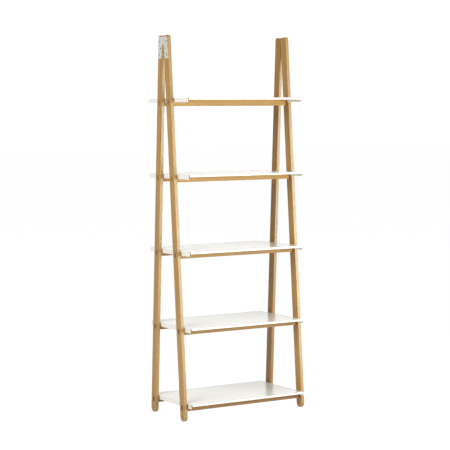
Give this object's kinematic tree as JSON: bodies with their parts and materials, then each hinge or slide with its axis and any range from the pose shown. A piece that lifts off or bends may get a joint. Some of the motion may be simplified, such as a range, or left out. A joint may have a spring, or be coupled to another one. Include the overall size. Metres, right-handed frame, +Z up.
{
  "type": "folding ladder shelf",
  "caption": "Freestanding folding A-frame shelving unit: two wooden ladders hinged at the top, with white sheet-steel shelves hooked over their rails.",
  "frame": {"origin": "on the floor, in the middle between the four feet", "axes": "+Z up; X runs along the shelves from left to right; -Y is the front, where the fixed front ladder stands"},
  "size_m": [0.7154, 0.415, 1.91],
  "materials": {
    "oiled_wood": "oiled, straight grain along each piece",
    "white_steel": "white gloss powder coat",
    "plate_steel": "pale dull zinc plating",
    "dark_screw": "dark blackened steel"
  },
  "bodies": {
    "front_ladder": {"front_left_leg": "oiled_wood", "front_right_leg": "oiled_wood", "front_rail_1": "oiled_wood", "front_rail_2": "oiled_wood", "front_rail_3": "oiled_wood", "front_rail_4": "oiled_wood", "front_rail_5": "oiled_wood", "left_hinge_front_leaf": "plate_steel", "left_hinge_rivet": "plate_steel", "left_hinge_front_screws": "dark_screw", "right_hinge_front_leaf": "plate_steel", "right_hinge_rivet": "plate_steel", "right_hinge_front_screws": "dark_screw"},
    "rear_ladder": {"rear_left_leg": "oiled_wood", "rear_right_leg": "oiled_wood", "rear_rail_1": "oiled_wood", "rear_rail_2": "oiled_wood", "rear_rail_3": "oiled_wood", "rear_rail_4": "oiled_wood", "rear_rail_5": "oiled_wood", "left_hinge_rear_leaf": "plate_steel", "left_hinge_rear_screws": "dark_screw", "right_hinge_rear_leaf": "plate_steel", "right_hinge_rear_screws": "dark_screw"},
    "shelf_1_body": {"shelf_1": "white_steel"},
    "shelf_2_body": {"shelf_2": "white_steel"},
    "shelf_3_body": {"shelf_3": "white_steel"},
    "shelf_4_body": {"shelf_4": "white_steel"},
    "shelf_5_body": {"shelf_5": "white_steel"}
  },
  "joints": [
    {"name": "fold", "type": "hinge", "parent": "front_ladder", "child": "rear_ladder", "pos_m": [0, 0, 1.8825], "axis": [-1, 0, 0], "range_deg": [0, 7.8]},
    {"name": "shelf_1_lift", "type": "slide", "parent": "front_ladder", "child": "shelf_1_body", "axis": [0, 0, 1], "range_m": [0, 0.0508]},
    {"name": "shelf_2_lift", "type": "slide", "parent": "front_ladder", "child": "shelf_2_body", "axis": [0, 0, 1], "range_m": [0, 0.1175]},
    {"name": "shelf_3_lift", "type": "slide", "parent": "front_ladder", "child": "shelf_3_body", "axis": [0, 0, 1], "range_m": [0, 0.1842]},
    {"name": "shelf_4_lift", "type": "slide", "parent": "front_ladder", "child": "shelf_4_body", "axis": [0, 0, 1], "range_m": [0, 0.251]},
    {"name": "shelf_5_lift", "type": "slide", "parent": "front_ladder", "child": "shelf_5_body", "axis": [0, 0, 1], "range_m": [0, 0.3177]}
  ],
  "couplings": [
    {"joint": "shelf_1_lift", "follows": "fold", "m_per_rad": 0.3717},
    {"joint": "shelf_2_lift", "follows": "fold", "m_per_rad": 0.8619},
    {"joint": "shelf_3_lift", "follows": "fold", "m_per_rad": 1.3522},
    {"joint": "shelf_4_lift", "follows": "fold", "m_per_rad": 1.8425},
    {"joint": "shelf_5_lift", "follows": "fold", "m_per_rad": 2.3327}
  ]
}
